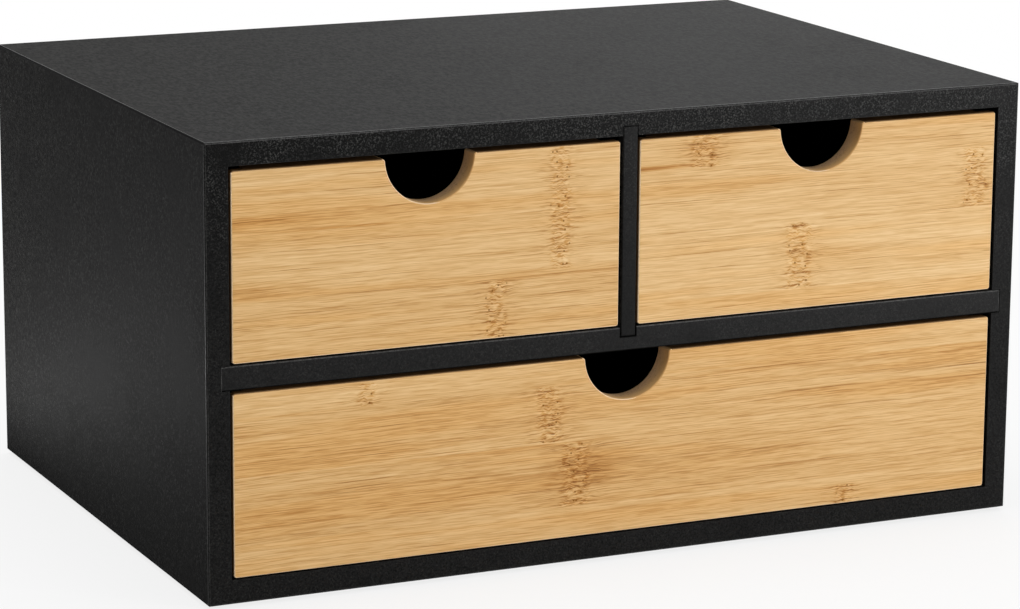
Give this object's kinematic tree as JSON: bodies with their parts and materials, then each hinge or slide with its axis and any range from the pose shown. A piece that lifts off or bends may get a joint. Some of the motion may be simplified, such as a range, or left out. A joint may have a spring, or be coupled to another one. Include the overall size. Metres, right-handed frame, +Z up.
{
  "type": "desktop drawer unit",
  "caption": "Desktop drawer unit: a black mitred case with small drawers side by side above a wide drawer, each with a bamboo front and a half-round finger notch.",
  "frame": {"origin": "centre of the footprint, on the surface that the four pads stand on", "axes": "+X to the right seen from the front, +Y to the back (the drawers open towards -Y), +Z up"},
  "size_m": [0.335, 0.24, 0.1715],
  "materials": {
    "case_paint": "fibreboard sprayed satin black, fine speckle, eased edges",
    "back_paint": "thin hardboard painted black",
    "box_paint": "fibreboard painted matt black",
    "bamboo": "laminated bamboo, clear satin lacquer, fine grain with knuckle marks",
    "plywood": "bare plywood",
    "steel": "bright steel nails and brads",
    "pad_rubber": "matt rubber"
  },
  "bodies": {
    "case": {"case_top": "case_paint", "case_base": "case_paint", "case_side_left": "case_paint", "case_side_right": "case_paint", "shelf": "case_paint", "divider": "case_paint", "back_panel": "back_paint", "back_nails": "steel", "mitre_tongue_top_left": "plywood", "mitre_tongue_top_right": "plywood", "mitre_tongue_base_left": "plywood", "mitre_tongue_base_right": "plywood", "foot_pad_front_left": "pad_rubber", "foot_pad_front_right": "pad_rubber", "foot_pad_rear_left": "pad_rubber", "foot_pad_rear_right": "pad_rubber"},
    "left_drawer": {"left_drawer_front": "bamboo", "left_drawer_side_left": "box_paint", "left_drawer_side_right": "box_paint", "left_drawer_rear": "box_paint", "left_drawer_bottom": "box_paint", "left_drawer_brads": "steel"},
    "right_drawer": {"right_drawer_front": "bamboo", "right_drawer_side_left": "box_paint", "right_drawer_side_right": "box_paint", "right_drawer_rear": "box_paint", "right_drawer_bottom": "box_paint", "right_drawer_brads": "steel"},
    "wide_drawer": {"wide_drawer_front": "bamboo", "wide_drawer_side_left": "box_paint", "wide_drawer_side_right": "box_paint", "wide_drawer_rear": "box_paint", "wide_drawer_bottom": "box_paint", "wide_drawer_brads": "steel"}
  },
  "joints": [
    {"name": "left_drawer_slide", "type": "slide", "parent": "case", "child": "left_drawer", "axis": [0, -1, 0], "range_m": [0, 0.17]},
    {"name": "right_drawer_slide", "type": "slide", "parent": "case", "child": "right_drawer", "axis": [0, -1, 0], "range_m": [0, 0.17]},
    {"name": "wide_drawer_slide", "type": "slide", "parent": "case", "child": "wide_drawer", "axis": [0, -1, 0], "range_m": [0, 0.17]}
  ]
}
